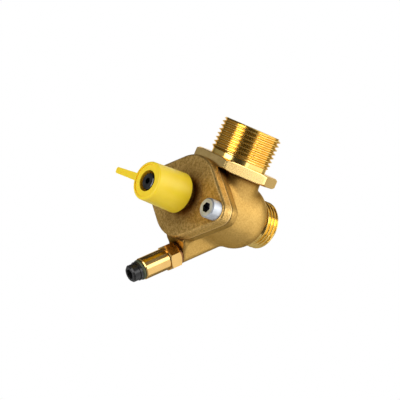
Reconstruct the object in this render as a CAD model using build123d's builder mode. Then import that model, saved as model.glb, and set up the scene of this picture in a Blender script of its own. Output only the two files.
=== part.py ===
from build123d import *
import os
from math import cos, radians, sin, sqrt

os.makedirs("parts", exist_ok=True)

# Right-angle gas valve, in millimetres. The origin is the centre of the upper spigot's end
# face, +Z points out of that spigot, +Y out of the rear spigot, and the handle faces -Y.

# Distances from the crossing of the port axes
top_reach = 37.2
rear_reach = 27.1
cover_reach = 20.3

# Upper spigot with its G 3/4 thread, spanner collar and neck
top_thread_d = 26.441
top_spigot_length = 16.0
top_bore_d = 18.0
spanner_flats = 33.4
spanner_thickness = 4.7
spanner_corner_r = 3.0
spanner_turn = 5.0
neck_d = 24.8

# Rear spigot with its G 1/2 thread
rear_thread_d = 20.955
rear_spigot_length = 8.8
rear_bore_d = 14.0
rear_bore_length = 14.0
thread_lead = 0.45
bore_lead = 0.6

# Barrel of the body
barrel_d = 29.0
barrel_end_d = 22.8
barrel_shoulder_length = 8.2
barrel_blend_r = 2.0

# Flange of the body and the cover on it
flange_round_d = 36.4
lobe_d = 10.8
screw_spacing = 45.0
flange_thickness = 4.0
flange_edge_r = 1.0
cover_thickness = 4.5
cover_edge_r = 1.2
cover_boss_d = 13.0
cover_boss_height = 2.4
register_length = 4.5
register_gap = 0.03

# Cover screws, M5 socket-cap
screw_d = 5.0
screw_length = 8.0
screw_head_d = 8.5
screw_head_height = 5.0
screw_head_edge = 0.5
screw_socket_flats = 4.0
screw_socket_depth = 2.6
screw_hole_d = 5.5
thread_gap = 0.03

# Ball and its seats
ball_d = 18.0
ball_bore_d = 9.5
ball_slot_depth = 2.2
chamber_d = 18.8
chamber_depth = 6.6
seat_d = 13.8
seat_bore_d = 10.0
seat_front = 7.0
seat_back = 9.2
seat_gap = 0.1
front_seat_nose_d = 12.4
front_seat_shoulder = 9.4
retainer_thickness = 4.0
retainer_bore_d = 10.4
retainer_slot_width = 2.0
retainer_slot_depth = 1.5

# Stem, with the collar that stays behind the cover and stops the quarter turn
stem_d = 8.0
stem_collar_d = 13.8
stem_collar_thickness = 2.4
collar_recess_d = 14.2
running_gap = 0.05
tang_width = 8.6
tang_thickness = 4.4
tang_end_gap = 0.2
thrust_washer_thickness = 1.0
thrust_washer_d = 10.4
stop_inner_d = 10.8
stop_lug_sweep = 24.0
stop_lug_angle = 90.0
stop_gap_angle = 0.6
drive_flats = 5.6
stem_end_gap = 0.2

# Sealing rings on the stem and on the cover's register
stem_ring_cord = 1.1
stem_ring_width = 1.5
stem_ring_first = 1.4
stem_ring_pitch = 2.8
cover_ring_cord = 1.6
cover_ring_width = 2.0

# Handle, with the lever a little way open
quarter_turn = 90.0
rest_turn = 4.5
handle_base_gap = 3.5
handle_length = 18.0
handle_base_d = 17.6
handle_front_d = 16.6
handle_rim_r = 0.9
handle_recess_d = 14.2
handle_recess_depth = 0.4
handle_hole_d = 9.2
handle_hole_depth = 4.0
handle_web = 1.6
lever_reach = 22.4
lever_root = 3.6
lever_tip = 2.7
lever_width = 9.0
lever_set_back = 0.6
lever_tip_r = 1.0

# Handle screw, M4 with a low round head, and its washer
handle_screw_d = 4.0
handle_screw_length = 9.0
handle_screw_hole_d = 4.5
handle_screw_head_d = 7.6
handle_screw_head_height = 2.2
handle_screw_head_r = 1.0
handle_screw_socket_flats = 2.5
handle_screw_socket_depth = 1.3
handle_washer_thickness = 0.8
handle_washer_d = 8.6

# Test nipple on its slanted boss
nipple_slant = 38.4
nipple_drop = 24.7
nipple_ahead = 11.7
boss_d = 9.4
boss_top_width = 13.6
boss_top = 8.1
boss_top_r = 1.4
boss_length = 27.6
nipple_thread_d = 6.0
nipple_thread_length = 8.0
nipple_hole_depth = 9.5
test_drill_d = 2.5
test_drill_slant = 30.0
test_drill_depth = 24.0
nipple_washer_d = 9.8
nipple_washer_thickness = 0.9
hexagon_flats = 10.4
hexagon_length = 5.2
hexagon_turn = 30.0
hexagon_lead = 0.5
nipple_tip_d = 9.4
nipple_tip_length = 12.2
nipple_tip_edge = 0.4

# Sealing screw of the test nipple, M5, and its ring
sealing_thread_d = 5.0
sealing_hole_depth = 10.0
sealing_point_gap = 0.2
sealing_collar_d = 8.2
sealing_collar_length = 1.0
sealing_head_d = 7.5
sealing_head_length = 3.3
sealing_head_edge = 0.6
sealing_socket_flats = 4.0
sealing_socket_depth = 2.4
sealing_ring_cord = 1.5
sealing_ring_bore_d = 5.8
sealing_ring_gap = 0.02

# Places along the valve axis, front to rear
valve_z = -top_reach
cover_front_y = -cover_reach
flange_front_y = cover_front_y + cover_thickness
register_back_y = flange_front_y + register_length
barrel_end_y = rear_reach - rear_spigot_length
collar_back_y = register_back_y - running_gap
collar_front_y = collar_back_y - stem_collar_thickness
recess_floor_y = collar_front_y - thrust_washer_thickness - running_gap
cover_boss_y = cover_front_y - cover_boss_height
handle_base_y = cover_front_y - handle_base_gap
handle_front_y = handle_base_y - handle_length
handle_floor_y = handle_front_y + handle_hole_depth
socket_end_y = handle_floor_y + handle_web
stem_end_y = socket_end_y + stem_end_gap
washer_top_y = handle_floor_y - handle_washer_thickness
tang_end_y = ball_slot_depth - ball_d / 2 - tang_end_gap

# Heights on the upper port
spanner_top_z = -top_spigot_length
spanner_bottom_z = spanner_top_z - spanner_thickness
seat_back_z = valve_z + seat_back
retainer_top_z = seat_back_z + retainer_thickness

# Distances along the test nipple, out from the back of its hexagon
boss_face = -nipple_washer_thickness
nipple_tip = hexagon_length + nipple_tip_length
sealing_ring_place = nipple_tip + sealing_ring_gap + sealing_ring_cord / 2
sealing_collar_back = sealing_ring_place + sealing_ring_cord / 2 + sealing_ring_gap
sealing_head_back = sealing_collar_back + sealing_collar_length
sealing_head_front = sealing_head_back + sealing_head_length
sealing_point = nipple_tip - sealing_hole_depth + sealing_point_gap

# Frames of the valve axis
valve_center = (0, 0, valve_z)
valve_axis = Axis(valve_center, (0, 1, 0))
valve_section = Plane(origin=valve_center, x_dir=(0, 1, 0), z_dir=(1, 0, 0))
window_direction = (cos(radians(rest_turn)), 0, sin(radians(rest_turn)))

# Frames of the test nipple, whose axis starts at the back of its hexagon
nipple_direction = Vector(0, -cos(radians(nipple_slant)), -sin(radians(nipple_slant)))
nipple_seat = Vector(0, -nipple_ahead, valve_z - nipple_drop)
nipple_axis = Axis(nipple_seat, nipple_direction)
nipple_section = Plane(origin=nipple_seat, x_dir=nipple_direction, z_dir=(1, 0, 0))
drill_start = nipple_seat + nipple_direction * (boss_face - nipple_hole_depth)
drill_direction = Vector(0, cos(radians(test_drill_slant)), sin(radians(test_drill_slant)))


def across_valve(y, x=0):
    """Plane across the valve axis, facing the handle, with X to the right and Z up."""
    return Plane(origin=(x, y, valve_z), x_dir=(1, 0, 0), z_dir=(0, -1, 0))


def across_stem(y):
    """Plane across the valve axis that turns with the stem, with X towards the ball's window."""
    return Plane(origin=(0, y, valve_z), x_dir=window_direction, z_dir=(0, -1, 0))


def across_nipple(distance):
    """Plane across the test nipple, facing out of it."""
    place = nipple_seat + nipple_direction * distance
    return Plane(origin=place, x_dir=(1, 0, 0), z_dir=nipple_direction)


def across_port(z):
    """Plane across the upper port, facing up."""
    return Plane.XY.offset(z)


def outline(plane, points):
    """Straight-sided face on a plane."""
    with BuildSketch(plane) as shape:
        with BuildLine():
            Polyline(*points, close=True)
        make_face()
    return shape.sketch


def ring_section(plane, start, end, inner_d, outer_d):
    """Section of a turned ring: its span along the plane's X, and its two diameters."""
    inner_r = inner_d / 2
    outer_r = outer_d / 2
    return outline(plane, [(start, inner_r), (end, inner_r), (end, outer_r), (start, outer_r)])


def cord_section(plane, place, groove_d, cord):
    """Round section of a sealing ring that lies on its groove's floor."""
    with BuildSketch(plane) as shape:
        with Locations((place, (groove_d + cord) / 2)):
            Circle(cord / 2)
    return shape.sketch


def disc(plane, diameter):
    """Round face on a plane."""
    with BuildSketch(plane) as shape:
        Circle(diameter / 2)
    return shape.sketch


def rectangle(plane, width, height):
    """Rectangular face on a plane."""
    with BuildSketch(plane) as shape:
        Rectangle(width, height)
    return shape.sketch


def hexagon(plane, flats, turn=0):
    """Hexagonal face on a plane, by its width across flats."""
    with BuildSketch(plane) as shape:
        RegularPolygon(flats / 2, 6, major_radius=False, rotation=turn)
    return shape.sketch


def ring_sector(plane, inner_d, outer_d, start, sweep):
    """Part of a ring between two angles."""
    with BuildSketch(plane) as shape:
        with BuildLine():
            outer = CenterArc((0, 0), outer_d / 2, start, sweep)
            inner = CenterArc((0, 0), inner_d / 2, start, sweep)
            Line(outer @ 0, inner @ 0)
            Line(outer @ 1, inner @ 1)
        make_face()
    return shape.sketch


def rhombus(y):
    """Two-lobed outline that the flange and the cover share."""
    with BuildSketch(across_valve(y)) as shape:
        Circle(flange_round_d / 2)
        with Locations((-screw_spacing / 2, 0), (screw_spacing / 2, 0)):
            Circle(lobe_d / 2)
        make_hull()
    return shape.sketch


def lobe_holes(y, diameter):
    """Screw holes of both lobes."""
    with BuildSketch(across_valve(y)) as shape:
        with Locations((-screw_spacing / 2, 0), (screw_spacing / 2, 0)):
            Circle(diameter / 2)
    return shape.sketch


def boss_outline(distance):
    """Outline of the test boss: round below, with sides that widen up to the flange."""
    corner_x = boss_top_width / 2 - boss_top_r
    corner_y = boss_top - boss_top_r
    with BuildSketch(across_nipple(distance)) as shape:
        Circle(boss_d / 2)
        with Locations((-corner_x, corner_y), (corner_x, corner_y)):
            Circle(boss_top_r)
        make_hull()
    return shape.sketch


def is_barrel_edge(edge):
    """True for the round edges that bound the barrel's straight side."""
    return abs(edge.radius - barrel_d / 2) < running_gap


# Body: one casting with flange, barrel, neck, spanner collar, two spigots and the test boss
with BuildPart() as body:
    extrude(rhombus(flange_front_y), amount=-flange_thickness)
    fillet(body.edges().group_by(Axis.Y)[-1], flange_edge_r)
    with BuildSketch(valve_section):
        with BuildLine():
            front = Line((flange_front_y, 0), (flange_front_y, barrel_d / 2))
            side = Line(front @ 1, (barrel_end_y - barrel_shoulder_length, barrel_d / 2))
            shoulder = TangentArc(side @ 1, (barrel_end_y, barrel_end_d / 2), tangent=side % 1)
            step = Line(shoulder @ 1, (barrel_end_y, rear_thread_d / 2))
            thread = Line(step @ 1, (rear_reach - thread_lead, rear_thread_d / 2))
            lead = Line(thread @ 1, (rear_reach, rear_thread_d / 2 - thread_lead))
            Polyline(lead @ 1, (rear_reach, 0), front @ 0)
        make_face()
    revolve(axis=valve_axis)
    barrel_root = body.edges().filter_by(GeomType.CIRCLE).filter_by(is_barrel_edge).sort_by(Axis.Y)[0]
    fillet(barrel_root, barrel_blend_r)
    extrude(disc(across_port(valve_z), neck_d), amount=spanner_bottom_z - valve_z)
    with BuildSketch(across_port(spanner_bottom_z)):
        RegularPolygon(spanner_flats / 2, 6, major_radius=False, rotation=spanner_turn)
        fillet(vertices(), spanner_corner_r)
    extrude(amount=spanner_thickness)
    extrude(disc(across_port(spanner_top_z), top_thread_d), amount=top_spigot_length)
    chamfer(body.edges().group_by(Axis.Z)[-1], thread_lead)
    extrude(boss_outline(boss_face), amount=-boss_length)

    # Seat of the cover, chamber, seat pockets and the two ports
    extrude(rhombus(flange_front_y), amount=cover_thickness, mode=Mode.SUBTRACT)
    extrude(disc(across_valve(chamber_depth), chamber_d), amount=chamber_depth - flange_front_y,
            mode=Mode.SUBTRACT)
    extrude(disc(across_valve(0), seat_d), amount=-seat_back, mode=Mode.SUBTRACT)
    extrude(disc(across_valve(0), seat_bore_d), amount=-rear_reach, mode=Mode.SUBTRACT)
    extrude(disc(across_valve(rear_reach), rear_bore_d), amount=rear_bore_length, mode=Mode.SUBTRACT)
    extrude(disc(across_port(valve_z), seat_d), amount=seat_back, mode=Mode.SUBTRACT)
    extrude(disc(across_port(seat_back_z), top_bore_d), amount=-seat_back_z, mode=Mode.SUBTRACT)

    chamfer(body.edges().group_by(Axis.Z)[-1].sort_by(SortBy.RADIUS)[0], bore_lead)
    chamfer(body.edges().group_by(Axis.Y)[-1].sort_by(SortBy.RADIUS)[0], bore_lead)

    # Tapped holes, and the drilling from the end of the nipple's hole to the rear port
    extrude(disc(across_nipple(boss_face), nipple_thread_d), amount=-nipple_hole_depth,
            mode=Mode.SUBTRACT)
    extrude(disc(Plane(origin=drill_start, x_dir=(1, 0, 0), z_dir=drill_direction), test_drill_d),
            amount=test_drill_depth, mode=Mode.SUBTRACT)
    extrude(lobe_holes(flange_front_y, screw_d), amount=-flange_thickness, mode=Mode.SUBTRACT)
body.part.label = "body"
export_step(body.part, "parts/body.step")

# Cover: casting over the flange, with a register in the chamber and a recess for the stem's collar
register_d = chamber_d - 2 * register_gap
cover_groove_d = register_d - 2 * cover_ring_cord
cover_ring_y = flange_front_y + register_length / 2
with BuildPart() as cover:
    extrude(rhombus(cover_front_y), amount=-cover_thickness)
    fillet(cover.edges().group_by(Axis.Y)[0], cover_edge_r)
    extrude(disc(across_valve(flange_front_y), register_d), amount=-register_length)
    extrude(disc(across_valve(cover_front_y), cover_boss_d), amount=cover_boss_height)
    extrude(disc(across_valve(register_back_y), collar_recess_d),
            amount=register_back_y - recess_floor_y, mode=Mode.SUBTRACT)
    extrude(ring_sector(across_valve(register_back_y), stop_inner_d, collar_recess_d,
                        stop_lug_angle - stop_lug_sweep / 2, stop_lug_sweep),
            amount=register_back_y - recess_floor_y)
    extrude(disc(across_valve(register_back_y), stem_d + 2 * running_gap),
            amount=register_back_y - cover_boss_y, mode=Mode.SUBTRACT)
    revolve(ring_section(valve_section, cover_ring_y - cover_ring_width / 2,
                         cover_ring_y + cover_ring_width / 2, cover_groove_d, chamber_d),
            axis=valve_axis, mode=Mode.SUBTRACT)
    extrude(lobe_holes(cover_front_y, screw_hole_d), amount=-cover_thickness, mode=Mode.SUBTRACT)
cover.part.label = "cover"
export_step(cover.part, "parts/cover.step")

# Sealing ring round the cover's register
with BuildPart() as cover_ring:
    revolve(cord_section(valve_section, cover_ring_y, cover_groove_d, cover_ring_cord), axis=valve_axis)
cover_ring.part.label = "cover_ring"
export_step(cover_ring.part, "parts/cover_ring.step")

# Cover screws, one in each lobe
for side, x in (("left", -screw_spacing / 2), ("right", screw_spacing / 2)):
    under_head = across_valve(cover_front_y, x)
    with BuildPart() as cover_screw:
        extrude(disc(under_head, screw_head_d), amount=screw_head_height)
        chamfer(cover_screw.edges().group_by(Axis.Y)[0], screw_head_edge)
        extrude(disc(under_head, screw_d - 2 * thread_gap), amount=-screw_length)
        extrude(hexagon(under_head.offset(screw_head_height), screw_socket_flats),
                amount=-screw_socket_depth, mode=Mode.SUBTRACT)
    cover_screw.part.label = f"cover_screw_{side}"
    export_step(cover_screw.part, f"parts/cover_screw_{side}.step")

# Ball with its L-shaped bore and the slot for the stem's tang
with BuildPart() as ball:
    with Locations(valve_center):
        Sphere(ball_d / 2)
        Sphere(ball_bore_d / 2, mode=Mode.SUBTRACT)
    extrude(disc(across_valve(0), ball_bore_d), amount=-ball_d / 2, mode=Mode.SUBTRACT)
    extrude(disc(Plane(origin=valve_center, z_dir=window_direction), ball_bore_d),
            amount=ball_d / 2, mode=Mode.SUBTRACT)
    extrude(rectangle(across_stem(-ball_d / 2), ball_d, tang_thickness + 2 * running_gap),
            amount=-ball_slot_depth, mode=Mode.SUBTRACT)
ball.part.label = "ball"
export_step(ball.part, "parts/ball.step")

# Seats, whose faces follow the ball at a small gap
with BuildPart() as rear_seat:
    revolve(ring_section(valve_section, seat_front, seat_back, seat_bore_d, seat_d), axis=valve_axis)
    with Locations(valve_center):
        Sphere(ball_d / 2 + seat_gap, mode=Mode.SUBTRACT)
rear_seat.part.label = "rear_seat"
export_step(rear_seat.part, "parts/rear_seat.step")

with BuildPart() as top_seat:
    extrude(disc(across_port(seat_back_z), seat_d), amount=seat_front - seat_back)
    extrude(disc(across_port(seat_back_z), seat_bore_d), amount=seat_front - seat_back,
            mode=Mode.SUBTRACT)
    with Locations(valve_center):
        Sphere(ball_d / 2 + seat_gap, mode=Mode.SUBTRACT)
top_seat.part.label = "top_seat"
export_step(top_seat.part, "parts/top_seat.step")

with BuildPart() as front_seat:
    revolve(ring_section(valve_section, register_back_y, -front_seat_shoulder, seat_bore_d, register_d),
            axis=valve_axis)
    revolve(ring_section(valve_section, register_back_y, -seat_front, seat_bore_d, front_seat_nose_d),
            axis=valve_axis)
    with Locations(valve_center):
        Sphere(ball_d / 2 + seat_gap, mode=Mode.SUBTRACT)
front_seat.part.label = "front_seat"
export_step(front_seat.part, "parts/front_seat.step")

# Retainer screwed into the upper bore, with a slot across it for its key
with BuildPart() as seat_retainer:
    extrude(disc(across_port(seat_back_z), top_bore_d - 2 * thread_gap), amount=retainer_thickness)
    extrude(disc(across_port(seat_back_z), retainer_bore_d), amount=retainer_thickness,
            mode=Mode.SUBTRACT)
    extrude(rectangle(across_port(retainer_top_z), top_bore_d, retainer_slot_width),
            amount=-retainer_slot_depth, mode=Mode.SUBTRACT)
seat_retainer.part.label = "seat_retainer"
export_step(seat_retainer.part, "parts/seat_retainer.step")

# Stem: tang, stop collar, sealed shaft and square drive
stem_groove_d = stem_d - 2 * stem_ring_cord
first_ring_y = recess_floor_y - stem_ring_first
stem_ring_places = {"inner": first_ring_y, "outer": first_ring_y - stem_ring_pitch}
stop_start = stop_lug_angle - stop_lug_sweep / 2 - quarter_turn + rest_turn - stop_gap_angle
stop_sweep = stop_lug_sweep + quarter_turn + 2 * stop_gap_angle
with BuildPart() as stem:
    extrude(rectangle(across_stem(tang_end_y), tang_width, tang_thickness),
            amount=tang_end_y - collar_back_y)
    extrude(disc(across_valve(collar_back_y), stem_collar_d), amount=stem_collar_thickness)
    extrude(ring_sector(across_valve(collar_back_y), stop_inner_d - 2 * running_gap, collar_recess_d,
                        stop_start, stop_sweep),
            amount=stem_collar_thickness, mode=Mode.SUBTRACT)
    extrude(disc(across_valve(collar_front_y), stem_d), amount=collar_front_y - handle_base_y)
    extrude(rectangle(across_stem(handle_base_y), drive_flats, drive_flats),
            amount=handle_base_y - stem_end_y)
    for place in stem_ring_places.values():
        revolve(ring_section(valve_section, place - stem_ring_width / 2, place + stem_ring_width / 2,
                             stem_groove_d, stem_d + 2 * running_gap),
                axis=valve_axis, mode=Mode.SUBTRACT)
    extrude(disc(across_valve(stem_end_y), handle_screw_d), amount=-handle_screw_length,
            mode=Mode.SUBTRACT)
stem.part.label = "stem"
export_step(stem.part, "parts/stem.step")

# Sealing rings in the stem's grooves
for name, place in stem_ring_places.items():
    with BuildPart() as stem_ring:
        revolve(cord_section(valve_section, place, stem_groove_d, stem_ring_cord), axis=valve_axis)
    stem_ring.part.label = f"stem_ring_{name}"
    export_step(stem_ring.part, f"parts/stem_ring_{name}.step")

# Washer between the stem's collar and the cover
with BuildPart() as thrust_washer:
    revolve(ring_section(valve_section, collar_front_y - thrust_washer_thickness, collar_front_y,
                         stem_d + 2 * running_gap, thrust_washer_d), axis=valve_axis)
thrust_washer.part.label = "thrust_washer"
export_step(thrust_washer.part, "parts/thrust_washer.step")

# Handle: tapered tube with its lever, a square socket for the stem and a hole for the screw
socket_flats = drive_flats + 2 * running_gap
lever_front_y = handle_front_y + lever_set_back
with BuildPart() as handle:
    revolve(outline(valve_section, [(handle_base_y, 0), (handle_base_y, handle_base_d / 2),
                                    (handle_front_y, handle_front_d / 2), (handle_front_y, 0)]),
            axis=valve_axis)
    fillet(handle.edges().group_by(Axis.Y)[0], handle_rim_r)
    with BuildSketch(across_stem(lever_front_y)):
        with BuildLine():
            Polyline((0, -lever_root / 2), (-lever_reach, -lever_tip / 2),
                     (-lever_reach, lever_tip / 2), (0, lever_root / 2), close=True)
        make_face()
        fillet(vertices().group_by(Axis.X)[0], lever_tip_r)
    extrude(amount=-lever_width)
    extrude(disc(across_valve(handle_front_y), handle_recess_d), amount=-handle_recess_depth,
            mode=Mode.SUBTRACT)
    extrude(disc(across_valve(handle_front_y), handle_hole_d), amount=-handle_hole_depth,
            mode=Mode.SUBTRACT)
    extrude(rectangle(across_stem(handle_base_y), socket_flats, socket_flats),
            amount=handle_base_y - socket_end_y, mode=Mode.SUBTRACT)
    extrude(disc(across_valve(handle_floor_y), handle_screw_hole_d), amount=-handle_web,
            mode=Mode.SUBTRACT)
handle.part.label = "handle"
export_step(handle.part, "parts/handle.step")

# Washer and screw in the handle's front hole
with BuildPart() as handle_washer:
    revolve(ring_section(valve_section, washer_top_y, handle_floor_y, handle_screw_hole_d,
                         handle_washer_d), axis=valve_axis)
handle_washer.part.label = "handle_washer"
export_step(handle_washer.part, "parts/handle_washer.step")

with BuildPart() as handle_screw:
    extrude(disc(across_valve(washer_top_y), handle_screw_head_d), amount=handle_screw_head_height)
    fillet(handle_screw.edges().group_by(Axis.Y)[0], handle_screw_head_r)
    extrude(disc(across_valve(washer_top_y), handle_screw_d - 2 * thread_gap),
            amount=-handle_screw_length)
    extrude(hexagon(across_stem(washer_top_y - handle_screw_head_height), handle_screw_socket_flats),
            amount=-handle_screw_socket_depth, mode=Mode.SUBTRACT)
handle_screw.part.label = "handle_screw"
export_step(handle_screw.part, "parts/handle_screw.step")

# Washer under the test nipple's hexagon
with BuildPart() as nipple_washer:
    revolve(ring_section(nipple_section, boss_face, 0, nipple_thread_d, nipple_washer_d),
            axis=nipple_axis)
nipple_washer.part.label = "nipple_washer"
export_step(nipple_washer.part, "parts/nipple_washer.step")

# Test nipple: threaded end, hexagon with turned corners, round barrel and its bore
hexagon_corner_r = hexagon_flats / sqrt(3)
with BuildPart() as test_nipple:
    extrude(hexagon(across_nipple(0), hexagon_flats, hexagon_turn), amount=hexagon_length)
    revolve(outline(nipple_section, [(0, 0), (0, hexagon_flats / 2), (hexagon_lead, hexagon_corner_r),
                                     (hexagon_length - hexagon_lead, hexagon_corner_r),
                                     (hexagon_length, hexagon_flats / 2), (hexagon_length, 0)]),
            axis=nipple_axis, mode=Mode.INTERSECT)
    revolve(outline(nipple_section, [(0, 0), (0, nipple_tip_d / 2),
                                     (nipple_tip - nipple_tip_edge, nipple_tip_d / 2),
                                     (nipple_tip, nipple_tip_d / 2 - nipple_tip_edge),
                                     (nipple_tip, 0)]), axis=nipple_axis)
    extrude(disc(across_nipple(0), nipple_thread_d - 2 * thread_gap), amount=-nipple_thread_length)
    extrude(disc(across_nipple(nipple_tip), test_drill_d), amount=-nipple_tip - nipple_thread_length,
            mode=Mode.SUBTRACT)
    extrude(disc(across_nipple(nipple_tip), sealing_thread_d), amount=-sealing_hole_depth,
            mode=Mode.SUBTRACT)
test_nipple.part.label = "test_nipple"
export_step(test_nipple.part, "parts/test_nipple.step")

# Ring between the nipple's end and the sealing screw's collar
with BuildPart() as sealing_ring:
    revolve(cord_section(nipple_section, sealing_ring_place, sealing_ring_bore_d, sealing_ring_cord),
            axis=nipple_axis)
sealing_ring.part.label = "sealing_ring"
export_step(sealing_ring.part, "parts/sealing_ring.step")

# Sealing screw: threaded shank, collar and socket head
with BuildPart() as sealing_screw:
    extrude(disc(across_nipple(sealing_collar_back), sealing_collar_d), amount=sealing_collar_length)
    extrude(disc(across_nipple(sealing_head_back), sealing_head_d), amount=sealing_head_length)
    chamfer(sealing_screw.faces().sort_by(nipple_axis)[-1].edges(), sealing_head_edge)
    extrude(disc(across_nipple(sealing_collar_back), sealing_thread_d - 2 * thread_gap),
            amount=sealing_point - sealing_collar_back)
    extrude(hexagon(across_nipple(sealing_head_front), sealing_socket_flats, hexagon_turn),
            amount=-sealing_socket_depth, mode=Mode.SUBTRACT)
sealing_screw.part.label = "sealing_screw"
export_step(sealing_screw.part, "parts/sealing_screw.step")
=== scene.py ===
import math

import bmesh
import bpy
import numpy as np
from mathutils import Matrix, Vector


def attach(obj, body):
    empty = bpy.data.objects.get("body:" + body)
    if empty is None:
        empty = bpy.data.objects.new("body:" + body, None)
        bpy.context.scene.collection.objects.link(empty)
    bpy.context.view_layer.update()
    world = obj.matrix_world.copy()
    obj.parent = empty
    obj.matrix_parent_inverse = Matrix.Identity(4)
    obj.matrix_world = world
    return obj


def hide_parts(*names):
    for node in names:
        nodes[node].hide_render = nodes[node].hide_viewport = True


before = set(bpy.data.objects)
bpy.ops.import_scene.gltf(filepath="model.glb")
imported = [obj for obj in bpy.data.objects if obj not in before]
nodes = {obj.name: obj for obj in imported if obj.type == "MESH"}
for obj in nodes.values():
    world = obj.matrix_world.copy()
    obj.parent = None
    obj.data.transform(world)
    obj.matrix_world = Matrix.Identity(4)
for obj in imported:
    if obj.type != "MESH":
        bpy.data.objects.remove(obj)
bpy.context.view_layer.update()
scene = bpy.context.scene
scene.view_settings.view_transform = "Standard"

MM = 0.001

# Sizes of the CAD part that the finer pieces are built around, in metres
VALVE_Z = -37.2 * MM
SPANNER_TOP = -16.0 * MM
SPANNER_BOTTOM = -20.7 * MM
SPANNER_FLATS = 33.4 * MM
SPANNER_TURN = math.radians(5.0)
BARREL_END = 18.3 * MM
REAR_END = 27.1 * MM
TOP_THREAD_R = 13.2205 * MM
TOP_BORE_R = 9.0 * MM
REAR_THREAD_R = 10.4775 * MM
REAR_BORE_R = 7.0 * MM
PIPE_PITCH = 1.814 * MM
PIPE_DEPTH = 1.162 * MM
CHAMBER_R = 10.2 * MM
COVER_SCREW_X = 22.5 * MM
NIPPLE_SLANT = math.radians(38.4)
NIPPLE_DIRECTION = Vector((0.0, -math.cos(NIPPLE_SLANT), -math.sin(NIPPLE_SLANT)))
NIPPLE_SEAT = Vector((0.0, -11.7 * MM, VALVE_Z - 24.7 * MM))


# Materials

WHITE = (1.0, 1.0, 1.0)


def new_material(name):
    """Material with a plain Principled shader; returns it with its node tree and shader."""
    material = bpy.data.materials.new(name)
    material.use_nodes = True
    tree = material.node_tree
    return material, tree, shader_of(material)


def shader_of(material):
    """The material's Principled shader."""
    return material.node_tree.nodes["Principled BSDF"]


def noise(tree, scale, detail=3.0, roughness=0.55):
    """Noise in object space, so that it stays on the piece."""
    place = tree.nodes.new("ShaderNodeTexCoord")
    texture = tree.nodes.new("ShaderNodeTexNoise")
    texture.inputs["Scale"].default_value = scale
    texture.inputs["Detail"].default_value = detail
    texture.inputs["Roughness"].default_value = roughness
    tree.links.new(place.outputs["Object"], texture.inputs["Vector"])
    return texture.outputs["Fac"]


def ramp(tree, value, stops):
    """Colours along a value."""
    node = tree.nodes.new("ShaderNodeValToRGB")
    band = node.color_ramp
    while len(band.elements) < len(stops):
        band.elements.new(0.5)
    for element, (place, colour) in zip(band.elements, stops):
        element.position = place
        element.color = (*colour, 1.0)
    tree.links.new(value, node.inputs["Fac"])
    return node.outputs["Color"]


def map_range(tree, value, start, end, low, high, kind="LINEAR"):
    """Number from low to high as the value goes from start to end."""
    node = tree.nodes.new("ShaderNodeMapRange")
    node.interpolation_type = kind
    for socket, number in (("From Min", start), ("From Max", end), ("To Min", low), ("To Max", high)):
        node.inputs[socket].default_value = number
    tree.links.new(value, node.inputs["Value"])
    return node.outputs["Result"]


def roughen(tree, shader, value, rough):
    """Gloss that varies between two roughnesses with a noise."""
    tree.links.new(map_range(tree, value, 0.3, 0.7, *rough), shader.inputs["Roughness"])


def bump(tree, shader, value, distance):
    """Fine relief."""
    node = tree.nodes.new("ShaderNodeBump")
    node.inputs["Distance"].default_value = distance
    tree.links.new(value, node.inputs["Height"])
    tree.links.new(node.outputs["Normal"], shader.inputs["Normal"])


def surface(name, colours, rough, metallic=0.0, scale=400.0, grain=0.0, grain_scale=2500.0):
    """Plain finish: a little variation of colour and gloss, and a fine grain."""
    material, tree, shader = new_material(name)
    shader.inputs["Metallic"].default_value = metallic
    patches = noise(tree, scale)
    tree.links.new(ramp(tree, patches, [(0.3, colours[0]), (0.7, colours[1])]), shader.inputs["Base Color"])
    roughen(tree, shader, patches, rough)
    if grain:
        bump(tree, shader, noise(tree, grain_scale, 2.0), grain)
    return material


def mix_into_base(tree, shader, colour, blend, factor=None):
    """Mixes a colour into the shader's colour: a socket or a plain colour, wholly or by a factor."""
    mix = tree.nodes.new("ShaderNodeMix")
    mix.data_type = "RGBA"
    mix.blend_type = blend
    tree.links.new(shader.inputs["Base Color"].links[0].from_socket, mix.inputs["A"])
    if factor is None:
        mix.inputs["Factor"].default_value = 1.0
    else:
        tree.links.new(factor, mix.inputs["Factor"])
    if isinstance(colour, tuple):
        mix.inputs["B"].default_value = (*colour, 1.0)
    else:
        tree.links.new(colour, mix.inputs["B"])
    tree.links.new(mix.outputs["Result"], shader.inputs["Base Color"])


def occlusion(tree, distance, inside=False):
    """How open the space over the surface is, or the metal under it, from 0 to 1."""
    node = tree.nodes.new("ShaderNodeAmbientOcclusion")
    node.samples = 8
    node.inside = inside
    node.only_local = inside
    node.inputs["Distance"].default_value = distance
    return node.outputs["AO"]


def paint_hollow_shade(tree, shader, distance, stops):
    """Painted shade: tints the colour darker where the surface is hollow."""
    mix_into_base(tree, shader, ramp(tree, occlusion(tree, distance), stops), "MULTIPLY")


def edge_wear_and_highlight(tree, shader, distance, colour):
    """Lightens the outer edges: rubbed skin, together with a painted highlight along them."""
    share = map_range(tree, occlusion(tree, distance, inside=True), 0.5, 0.92, 1.0, 0.0)
    mix_into_base(tree, shader, colour, "MIX", share)


def paint_shade_in_front(tree, shader, start, end, tint):
    """Painted shade: tints the colour in front of a plane that is square to the handle's axis."""
    place = tree.nodes.new("ShaderNodeTexCoord")
    split = tree.nodes.new("ShaderNodeSeparateXYZ")
    tree.links.new(place.outputs["Object"], split.inputs["Vector"])
    share = map_range(tree, split.outputs["Y"], start, end, 0.0, 1.0)
    mix_into_base(tree, shader, ramp(tree, share, [(0.0, tint), (1.0, WHITE)]), "MULTIPLY")


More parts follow.
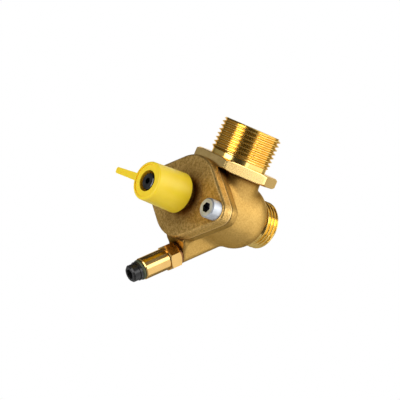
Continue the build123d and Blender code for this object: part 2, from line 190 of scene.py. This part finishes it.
def sand_cast(name, colours, rough, grain, grain_scale, wear_and_highlight_colour):
    """Cast metal: dark in its pits, bright on its grains, over broad stains; painted shade darkens its
    hollows, and its edges are lightened as rubbed skin and painted highlight.
    """
    edge_reach, hollow_reach = 1.1 * MM, 14.0 * MM
    material, tree, shader = new_material(name)
    shader.inputs["Metallic"].default_value = 1.0
    sand = noise(tree, grain_scale, 1.5, 0.6)
    stain = noise(tree, 150.0)
    speckle = ramp(tree, sand, [(0.34, colours[0]), (0.5, colours[1]), (0.68, colours[2])])
    tree.links.new(speckle, shader.inputs["Base Color"])
    mix_into_base(tree, shader, ramp(tree, stain, [(0.3, (0.92, 0.90, 0.86)), (0.7, WHITE)]), "MULTIPLY")
    # Rubbed skin and a painted highlight on the outer edges
    edge_wear_and_highlight(tree, shader, edge_reach, wear_and_highlight_colour)
    # Painted shade in the hollows
    paint_hollow_shade(tree, shader, hollow_reach,
           [(0.12, (0.22, 0.155, 0.09)), (0.6, (0.56, 0.49, 0.40)), (0.96, WHITE)])
    roughen(tree, shader, stain, rough)
    bump(tree, shader, sand, grain)
    return material


CAST_BRASS = sand_cast("cast_brass", ((0.50, 0.30, 0.082), (0.57, 0.355, 0.10), (0.63, 0.405, 0.12)),
                       (0.38, 0.46), 0.03 * MM, 1500.0, (0.64, 0.425, 0.14))
COVER_BRASS = sand_cast("cover_brass", ((0.44, 0.27, 0.077), (0.61, 0.39, 0.123), (0.75, 0.505, 0.18)),
                        (0.40, 0.50), 0.14 * MM, 1250.0, (0.80, 0.56, 0.23))
BRIGHT_BRASS = surface("bright_brass", ((0.81, 0.56, 0.16), (0.87, 0.62, 0.195)), (0.13, 0.2), 1.0, 180.0)
TURNED_BRASS = surface("turned_brass", ((0.57, 0.355, 0.115), (0.63, 0.40, 0.14)), (0.11, 0.16), 1.0, 200.0)
COLLAR_BRASS = surface("collar_brass", ((0.80, 0.55, 0.20), (0.88, 0.62, 0.25)), (0.16, 0.26), 1.0, 450.0)
ZINC = surface("zinc", ((0.50, 0.525, 0.56), (0.60, 0.625, 0.66)), (0.44, 0.52), 1.0, 500.0)
# Painted shade for the cover screws' sockets
SOCKET_SHADE = surface("socket_shade_steel", ((0.12, 0.125, 0.13), (0.22, 0.225, 0.23)), (0.15, 0.25), 1.0, 700.0)
CHROME = surface("ball_plating", ((0.74, 0.74, 0.76), (0.8, 0.8, 0.82)), (0.06, 0.1), 1.0, 300.0)
YELLOW = surface("yellow_plastic", ((0.94, 0.66, 0.015), (0.98, 0.71, 0.023)), (0.34, 0.42), 0.0, 120.0,
                 0.03 * MM, 2600.0)
BLACK = surface("black_steel", ((0.008, 0.008, 0.008), (0.02, 0.019, 0.018)), (0.15, 0.25), 0.0, 600.0)
GLOSS_BLACK = surface("gloss_black", ((0.055, 0.054, 0.056), (0.10, 0.098, 0.10)), (0.12, 0.2), 1.0, 600.0)
RUBBER = surface("seal_rubber", ((0.04, 0.048, 0.02), (0.06, 0.07, 0.03)), (0.5, 0.65), 0.0, 700.0)
COPPER = surface("dull_copper", ((0.16, 0.07, 0.03), (0.24, 0.11, 0.045)), (0.4, 0.55), 1.0, 600.0)
SEAT = surface("seat_plastic", ((0.76, 0.76, 0.73), (0.82, 0.82, 0.79)), (0.4, 0.5), 0.0, 300.0)

# Brass keeps its colour at a glancing view
for brass in (CAST_BRASS, COVER_BRASS, BRIGHT_BRASS, TURNED_BRASS, COLLAR_BRASS):
    shader_of(brass).inputs["Specular Tint"].default_value = (0.92, 0.76, 0.48, 1.0)

# Painted shade: the flange is darker than the barrel, and the tight corners are darker still
FLANGE_BACK = (-12.6 * MM, -12.0 * MM)
paint_shade_in_front(CAST_BRASS.node_tree, shader_of(CAST_BRASS), *FLANGE_BACK, (0.73, 0.71, 0.69))
paint_hollow_shade(CAST_BRASS.node_tree, shader_of(CAST_BRASS), 3.0 * MM, [(0.48, (0.32, 0.22, 0.13)), (0.9, WHITE)])

# Dull black, and a plastic that lets some light in, with painted shade in its recess and hole
shader_of(BLACK).inputs["Specular IOR Level"].default_value = 0.3
paint_hollow_shade(YELLOW.node_tree, shader_of(YELLOW), 2.5 * MM, [(0.25, (0.95, 0.60, 0.26)), (0.85, WHITE)])
shader_of(YELLOW).inputs["Subsurface Weight"].default_value = 0.12
shader_of(YELLOW).inputs["Subsurface Radius"].default_value = (1.0, 0.55, 0.08)
shader_of(YELLOW).inputs["Subsurface Scale"].default_value = 1.0 * MM

NODE_FINISH = {
    "body": CAST_BRASS, "cover": COVER_BRASS, "test_nipple": TURNED_BRASS, "seat_retainer": TURNED_BRASS,
    "stem": TURNED_BRASS, "ball": CHROME, "cover_screw_left": ZINC, "cover_screw_right": ZINC,
    "handle": YELLOW, "handle_screw": BLACK, "handle_washer": BLACK, "sealing_screw": BLACK,
    "sealing_ring": RUBBER, "nipple_washer": COPPER, "cover_ring": RUBBER, "stem_ring_inner": RUBBER,
    "stem_ring_outer": RUBBER, "rear_seat": SEAT, "top_seat": SEAT, "front_seat": SEAT, "thrust_washer": SEAT,
}
for name, material in NODE_FINISH.items():
    nodes[name].data.materials.clear()
    nodes[name].data.materials.append(material)


# Painted shade: a dark steel in the sockets of the cover screws
SOCKET_R = 2.36 * MM
SOCKET_MOUTH, SOCKET_FLOOR = -25.28 * MM, -20.4 * MM
for name, x in (("cover_screw_left", -COVER_SCREW_X), ("cover_screw_right", COVER_SCREW_X)):
    mesh = nodes[name].data
    mesh.materials.append(SOCKET_SHADE)
    for polygon in mesh.polygons:
        place = polygon.center
        if (math.hypot(place.x - x, place.z - VALVE_Z) < SOCKET_R
                and SOCKET_MOUTH < place.y < SOCKET_FLOOR):
            polygon.material_index = 1


# Helpers for the pieces

def finish_piece(piece, material, body, replaced=()):
    """Gives a piece its material, its body and the nodes it stands for."""
    piece.data.materials.clear()
    piece.data.materials.append(material)
    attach(piece, body)
    if replaced:
        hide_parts(*replaced)
    return piece


def new_object(name, data):
    """Object in the scene that holds a mesh, a camera or a lamp."""
    piece = bpy.data.objects.new(name, data)
    scene.collection.objects.link(piece)
    return piece


def new_piece(name, vertices, faces):
    """Object from a list of points and faces."""
    mesh = bpy.data.meshes.new(name)
    mesh.from_pydata([tuple(v) for v in vertices], [], [tuple(f) for f in faces])
    return new_object(name, mesh)


def clean_up(piece, merge=1e-6):
    """Joins points that meet, drops empty faces and turns the faces outwards."""
    work = bmesh.new()
    work.from_mesh(piece.data)
    bmesh.ops.remove_doubles(work, verts=work.verts, dist=merge)
    bmesh.ops.dissolve_degenerate(work, edges=work.edges, dist=merge)
    bmesh.ops.recalc_face_normals(work, faces=work.faces)
    work.to_mesh(piece.data)
    work.free()


def smooth_by_angle(piece, degrees):
    """Smooth shading, with edges sharper than the angle kept crisp."""
    for polygon in piece.data.polygons:
        polygon.use_smooth = True
    piece.data.set_sharp_from_angle(angle=math.radians(degrees))


def apply_modifiers(piece):
    """Puts the modifiers' result into the mesh."""
    graph = bpy.context.evaluated_depsgraph_get()
    made = bpy.data.meshes.new_from_object(piece.evaluated_get(graph))
    piece.modifiers.clear()
    piece.data = made


def bevel_edges(piece, width, segments):
    """Rounds the edges sharper than 35 degrees."""
    edges = piece.modifiers.new("edges", "BEVEL")
    edges.width = width
    edges.segments = segments
    edges.limit_method = "ANGLE"
    edges.angle_limit = math.radians(35)


def box_cut(name, source, low, high):
    """Copy of a CAD node's mesh, cut down to a box."""
    piece = new_object(name, source.data.copy())
    mesh = bpy.data.meshes.new(name + "_box")
    work = bmesh.new()
    bmesh.ops.create_cube(work, size=1.0)
    size = Vector(high) - Vector(low)
    for vertex in work.verts:
        vertex.co = Vector(low) + Vector([(vertex.co[k] + 0.5) * size[k] for k in range(3)])
    work.to_mesh(mesh)
    work.free()
    box = new_object(name + "_box", mesh)
    cut = piece.modifiers.new("cut", "BOOLEAN")
    cut.operation = "INTERSECT"
    cut.solver = "EXACT"
    cut.object = box
    apply_modifiers(piece)
    bpy.data.objects.remove(box)
    return piece


def thread_wave(phase):
    """Height of a 55 degree pipe thread, round at crest and root, from -1 in its root to 1 on its crest."""
    half_depth, arc_r, flank = 0.320164, 0.137329, math.radians(27.5)
    away = np.abs((phase + 0.5) % 1.0 - 0.5)
    to_crest = np.minimum(away, 0.5 - away)
    straight = (0.25 - to_crest) / math.tan(flank)
    arc = half_depth - arc_r + np.sqrt(np.maximum(arc_r ** 2 - to_crest ** 2, 0.0))
    height = np.where(to_crest < arc_r * math.cos(flank), arc, straight)
    return np.where(away < 0.25, height, -height) / half_depth


def threaded_spigot(name, place, across, up, length, outer_r, bore_r, threaded, run_out, root_r):
    """Spigot with a right-hand outside thread, as one closed shell with its bore.

    place is the centre of the root, up the way out of it, across any direction square to it.
    """
    around, rows = 144, 24
    lead, bore_lead = 0.9 * MM, 0.6 * MM
    step = PIPE_PITCH / rows
    side = up.cross(across)
    count = int(round((length + PIPE_PITCH) / step)) + 2
    angle = np.arange(around) * 2 * math.pi / around
    turned = (angle / (2 * math.pi) * PIPE_PITCH)[:, None]
    height = np.clip((np.arange(count) * step)[None, :] + turned - PIPE_PITCH, 0.0, length)
    wave = thread_wave((np.arange(count) % rows) / rows)[None, :]
    start = length - threaded
    depth = np.clip((height - start) / run_out, 0.0, 1.0)
    radius = outer_r - PIPE_DEPTH * depth * (1.0 - wave) / 2
    plain = np.clip((start + run_out * 0.5 - height) / (run_out * 0.5), 0.0, 1.0)
    radius = radius * (1 - plain) + root_r * plain
    radius = np.minimum(radius, outer_r - lead + (length - height))
    directions = [across * math.cos(a) + side * math.sin(a) for a in angle]
    points, faces = [], []
    for i in range(around):
        for j in range(count):
            points.append(place + up * height[i, j] + directions[i] * radius[i, j])
    for i in range(around):
        following = (i + 1) % around
        shift = rows if following == 0 else 0
        for j in range(count - 1 - shift):
            faces.append((i * count + j, following * count + j + shift,
                          following * count + j + 1 + shift, i * count + j + 1))
    rings = [(length, outer_r - lead), (length, bore_r + bore_lead), (length - bore_lead, bore_r),
             (0.0, bore_r), (0.0, root_r)]
    first = len(points)
    for along, r in rings:
        for direction in directions:
            points.append(place + up * along + direction * r)
    for k in range(len(rings) - 1):
        here, beyond = first + k * around, first + (k + 1) * around
        for i in range(around):
            following = (i + 1) % around
            faces.append((here + i, here + following, beyond + following, beyond + i))
    piece = new_piece(name, points, faces)
    clean_up(piece, 2e-6)
    smooth_by_angle(piece, 40)
    return piece


# Helpers for the casting

def mesh_points(mesh):
    """The mesh's points, as rows of three numbers."""
    points = np.empty(len(mesh.vertices) * 3)
    mesh.vertices.foreach_get("co", points)
    return points.reshape(-1, 3)


def mesh_edges(mesh):
    """The mesh's edges, as rows of two point numbers."""
    edges = np.empty(len(mesh.edges) * 2, dtype=np.int64)
    mesh.edges.foreach_get("vertices", edges)
    return edges.reshape(-1, 2)


def move_points(mesh, points):
    """Puts the points where they have been moved to."""
    mesh.vertices.foreach_set("co", points.ravel())
    mesh.update()


def to_neighbours(points, edges):
    """For each point, the way to the middle of its neighbours."""
    near = np.bincount(edges.ravel(), minlength=len(points))[:, None]
    total = np.zeros_like(points)
    np.add.at(total, edges[:, 0], points[edges[:, 1]])
    np.add.at(total, edges[:, 1], points[edges[:, 0]])
    return total / near - points


def nipple_place(points):
    """How far points lie from the nipple's seat along its axis, and how far from that axis."""
    axis = np.array(NIPPLE_DIRECTION)
    from_seat = points - np.array(NIPPLE_SEAT)
    along = from_seat @ axis
    return along, np.linalg.norm(from_seat - along[:, None] * axis, axis=1)


def fill_corners(piece, rounds, free):
    """Fills the inside corners of a casting: points move out where the surface is hollow."""
    outward_share, inward_share = 0.9, 0.04
    mesh = piece.data
    points, edges = mesh_points(mesh), mesh_edges(mesh)
    loops = np.empty(len(mesh.loops), dtype=np.int64)
    mesh.loops.foreach_get("vertex_index", loops)
    quads = loops.reshape(-1, 4)
    allowed = free(points)[:, None]
    for _ in range(rounds):
        shift = to_neighbours(points, edges)
        across = np.cross(points[quads[:, 2]] - points[quads[:, 0]], points[quads[:, 3]] - points[quads[:, 1]])
        normal = np.zeros_like(points)
        for k in range(4):
            np.add.at(normal, quads[:, k], across)
        normal /= np.linalg.norm(normal, axis=1, keepdims=True) + 1e-12
        outward = (shift * normal).sum(1, keepdims=True)
        points = points + allowed * np.where(outward > 0, shift * outward_share, shift * inward_share)
    move_points(mesh, points)


def outside_of_casting(points):
    """1 on the casting's outer skin, 0 in its bores and on its joint faces."""
    port_r, nipple_hole_r = 10.0 * MM, 4.2 * MM
    joint_y, cut_margin = -15.5 * MM, 0.3 * MM
    from_axis = np.hypot(points[:, 0], points[:, 2] - VALVE_Z)
    from_port = np.hypot(points[:, 0], points[:, 1])
    from_nipple = nipple_place(points)[1]
    free = np.ones(len(points))
    free[from_axis < CHAMBER_R] = 0
    free[(from_port < port_r) & (points[:, 2] > VALVE_Z)] = 0
    free[from_nipple < nipple_hole_r] = 0
    free[points[:, 1] < joint_y] = 0
    free[points[:, 2] > SPANNER_BOTTOM - cut_margin] = 0
    free[points[:, 1] > BARREL_END - cut_margin] = 0
    return free


def draw_in_boss(piece):
    """Rounds the sides of the boss off towards the nipple's seat."""
    draw_length, kept_half, end_half, side_half = 3.4 * MM, 3.4 * MM, 4.9 * MM, 6.8 * MM
    points = mesh_points(piece.data)
    along = nipple_place(points)[0]
    above = (points - np.array(NIPPLE_SEAT)) @ np.array((0.0, NIPPLE_DIRECTION.z, -NIPPLE_DIRECTION.y))
    part = np.clip(along / draw_length + 1.0, 0.0, 1.0)
    limit = end_half + (side_half - end_half) * np.sqrt(1.0 - part ** 2)
    wide = np.abs(points[:, 0])
    squeeze = (limit - kept_half) / (side_half - kept_half)
    drawn = np.where(wide > kept_half, kept_half + (wide - kept_half) * squeeze, wide)
    below_end = np.clip((above + 0.5 * MM) / (2.5 * MM), 0.0, 1.0)
    above_end = np.clip((5.4 * MM - above) / (1.2 * MM), 0.0, 1.0)
    share = below_end * above_end * (along < 0.6 * MM) * (wide < 7.2 * MM)
    points[:, 0] = np.sign(points[:, 0]) * (wide + (drawn - wide) * share)
    move_points(piece.data, points)


def soften_rims(piece, rounds):
    """Rounds two rims: the flange's front, which leaves a fine groove at the joint, and the boss."""
    flange_y, boss_depth, boss_inner, boss_outer = -14.9 * MM, 2.0 * MM, 4.4 * MM, 9.5 * MM
    points, edges = mesh_points(piece.data), mesh_edges(piece.data)
    flange = (points[:, 1] < flange_y) & (np.hypot(points[:, 0], points[:, 2] - VALVE_Z) > CHAMBER_R)
    along, from_nipple = nipple_place(points)
    boss = (along > -boss_depth) & (from_nipple > boss_inner) & (from_nipple < boss_outer)
    chosen = (flange | boss)[:, None]
    for _ in range(rounds):
        points = points + chosen * to_neighbours(points, edges) * 0.6
    move_points(piece.data, points)


# Cast part of the body, with rounded inside corners
cast = box_cut("cast_body", nodes["body"], (-0.05, -0.05, -0.12), (0.05, BARREL_END, SPANNER_BOTTOM))
remesh = cast.modifiers.new("remesh", "REMESH")
remesh.mode = "VOXEL"
remesh.voxel_size = 0.34 * MM
apply_modifiers(cast)
fill_corners(cast, 60, outside_of_casting)
draw_in_boss(cast)
soften_rims(cast, 10)
smooth_by_angle(cast, 60)
finish_piece(cast, CAST_BRASS, "valve", ["body"])


def spanner_collar():
    """Hexagon whose two faces are turned down at the corners, with rounded rims."""
    corner_r, face_r, fall, rim = 0.15 * MM, 17.5 * MM, math.tan(math.radians(22)), 0.35 * MM
    outline = []
    for k in range(6):
        corner = SPANNER_TURN + k * math.pi / 3
        middle = (SPANNER_FLATS / 2 - corner_r) / math.cos(math.pi / 6)
        centre = Vector((math.cos(corner), math.sin(corner))) * middle
        for step in range(5):
            angle = corner + math.radians(-30 + 15 * step)
            outline.append(centre + Vector((math.cos(angle), math.sin(angle))) * corner_r)
        along_side = Vector((-math.sin(corner + math.pi / 6), math.cos(corner + math.pi / 6)))
        start = outline[-1].copy()
        for step in range(1, 20):
            outline.append(start + along_side * middle * step / 20)
    points = []
    for point in outline:
        reach, bearing = point.length, point.normalized()
        flat = min(reach - rim, face_r)
        turned = (reach - rim - flat) * fall
        half = [(TOP_BORE_R, 0.0), (flat, 0.0), (reach - rim, turned),
                (reach - 0.29 * rim, turned + 0.29 * rim), (reach, turned + rim)]
        for r, z in half:
            points.append(Vector((bearing.x * r, bearing.y * r, SPANNER_BOTTOM + z)))
        for r, z in reversed(half):
            points.append(Vector((bearing.x * r, bearing.y * r, SPANNER_TOP - z)))
    ring = 2 * len(half)
    faces = []
    for i in range(len(outline)):
        following = (i + 1) % len(outline)
        for k in range(ring):
            other = (k + 1) % ring
            faces.append((i * ring + k, following * ring + k, following * ring + other, i * ring + other))
    return new_piece("spanner_collar", points, faces)


collar = spanner_collar()
clean_up(collar)
smooth_by_angle(collar, 12)
finish_piece(collar, COLLAR_BRASS, "valve", ["body"])

# Spigots with their pipe threads
upper = threaded_spigot("upper_thread", Vector((0, 0, SPANNER_TOP)), Vector((1, 0, 0)), Vector((0, 0, 1)),
                        -SPANNER_TOP, TOP_THREAD_R, TOP_BORE_R, 14.0 * MM, 1.2 * MM, 12.3 * MM)
finish_piece(upper, BRIGHT_BRASS, "valve", ["body"])
rear = threaded_spigot("rear_thread", Vector((0, BARREL_END, VALVE_Z)), Vector((0, 0, 1)), Vector((0, 1, 0)),
                       REAR_END - BARREL_END, REAR_THREAD_R, REAR_BORE_R, 7.6 * MM, 1.0 * MM, 9.5 * MM)
finish_piece(rear, BRIGHT_BRASS, "valve", ["body"])

# Handle screw, whose head stands a little further out than in the CAD part
HEAD_Y, HEAD_RISE = -39.6 * MM, 0.3 * MM
screw = new_object("handle_screw_head", nodes["handle_screw"].data.copy())
for vertex in screw.data.vertices:
    if vertex.co.y < HEAD_Y:
        vertex.co.y -= HEAD_RISE
bevel_edges(screw, 0.25 * MM, 3)
apply_modifiers(screw)
smooth_by_angle(screw, 35)
finish_piece(screw, GLOSS_BLACK, "quarter_turn", ["handle_screw"])

# Softened edges on the CAD pieces that show
for name, width in (("cover", 0.35), ("handle", 0.35), ("test_nipple", 0.2), ("sealing_screw", 0.15),
                    ("cover_screw_left", 0.2), ("cover_screw_right", 0.2)):
    bevel_edges(nodes[name], width * MM, 2)
for name in NODE_FINISH:
    smooth_by_angle(nodes[name], 30)

# Camera at the photograph's place
AZIMUTH, ELEVATION, ROLL = math.radians(50.01), math.radians(2.59), math.radians(23.62)
DISTANCE, AIM_RIGHT, AIM_UP = 0.909, -7.695 * MM, 3.577 * MM
forward = Vector((-math.sin(AZIMUTH) * math.cos(ELEVATION), math.cos(AZIMUTH) * math.cos(ELEVATION),
                  -math.sin(ELEVATION)))
level_right = Vector((math.cos(AZIMUTH), math.sin(AZIMUTH), 0.0))
level_up = level_right.cross(forward)
right = level_right * math.cos(ROLL) + level_up * math.sin(ROLL)
up = level_up * math.cos(ROLL) - level_right * math.sin(ROLL)
camera = new_object("camera", bpy.data.cameras.new("camera"))
scene.camera = camera
camera.data.sensor_width = 36.0
camera.data.lens = 192.3
camera.data.clip_start = 0.05
valve_centre = Vector((0, 0, VALVE_Z))
aim = valve_centre + right * AIM_RIGHT + up * AIM_UP
camera.matrix_world = (Matrix.Translation(aim - forward * DISTANCE)
                       @ Matrix((right, up, -forward)).transposed().to_4x4())

# Pale floor, out of the photograph's view
bpy.ops.mesh.primitive_circle_add(vertices=96, radius=0.26, fill_type="NGON", location=(0, 0, -0.205))
floor = bpy.context.object
floor.name = "floor"
PALE = surface("floor_white", ((0.70, 0.70, 0.70), (0.72, 0.72, 0.72)), (0.7, 0.8), 0.0, 20.0)
floor.data.materials.append(PALE)

# World: a dim room, lighter at both sides, and a backdrop that is white to the camera and in metal
world = bpy.data.worlds.new("room")
scene.world = world
world.use_nodes = True
tree = world.node_tree
back = tree.nodes["Background"]
path = tree.nodes.new("ShaderNodeLightPath")
place = tree.nodes.new("ShaderNodeTexCoord")


def level(direction, start, end, low, high):
    """Brightness that goes smoothly from low to high as rays turn towards a direction."""
    node = tree.nodes.new("ShaderNodeVectorMath")
    node.operation = "DOT_PRODUCT"
    node.inputs[1].default_value = direction
    tree.links.new(place.outputs["Generated"], node.inputs[0])
    return map_range(tree, node.outputs["Value"], start, end, low, high, "SMOOTHSTEP")


def combine(operation, first, second):
    """Sum, product or larger of two numbers."""
    node = tree.nodes.new("ShaderNodeMath")
    node.operation = operation
    tree.links.new(first, node.inputs[0])
    tree.links.new(second, node.inputs[1])
    return node.outputs["Value"]


room_light = level(up, -0.5, 0.1, 0.09, 0.07)
room_light = combine("ADD", room_light, level(right, 0.0, 0.7, 0.0, 0.36))
room_light = combine("ADD", room_light, level(-right, 0.3, 0.9, 0.0, 0.24))
front_gap = level(-forward, 0.80, 0.95, 1.0, 0.5)
room_light = combine("MULTIPLY", room_light, front_gap)
backdrop = combine("MULTIPLY", level(forward, 0.80, 0.92, 0.0, 1.0), level(up, -0.4, -0.2, 0.0, 1.0))
mirrored = combine("MAXIMUM", path.outputs["Is Glossy Ray"], path.outputs["Is Transmission Ray"])
room_light = combine("MAXIMUM", room_light, combine("MULTIPLY", backdrop, mirrored))
room_light = combine("MAXIMUM", room_light, path.outputs["Is Camera Ray"])
tree.links.new(room_light, back.inputs["Color"])


def softbox(name, turn, rise, width, tall, strength):
    """Area lamp aimed at the valve from a metre away, placed by its bearing from the camera.

    turn is to the right and rise upwards, width and tall are the angles it fills, all in degrees.
    """
    turn, rise = math.radians(turn), math.radians(rise)
    direction = (right * math.sin(turn) - forward * math.cos(turn)) * math.cos(rise) + up * math.sin(rise)
    lamp = bpy.data.lights.new(name, "AREA")
    lamp.shape = "RECTANGLE"
    lamp.size = 2 * math.tan(math.radians(width / 2))
    lamp.size_y = 2 * math.tan(math.radians(tall / 2))
    lamp.energy = strength * math.pi * lamp.size * lamp.size_y
    across = up.cross(direction).normalized()
    holder = new_object(name, lamp)
    holder.matrix_world = (Matrix.Translation(valve_centre + direction)
                           @ Matrix((across, direction.cross(across), direction)).transposed().to_4x4())


softbox("key", 57.0, 13.0, 36.0, 28.0, 3.7)
softbox("key_right", 95.0, 13.0, 40.0, 28.0, 1.3)
softbox("low_key", 84.0, -26.0, 78.0, 52.0, 1.0)
softbox("edge", 35.0, -6.0, 14.0, 24.0, 2.7)
softbox("top", 125.0, 44.0, 60.0, 44.0, 0.58)
softbox("fill", -46.0, 14.0, 30.0, 54.0, 4.4)
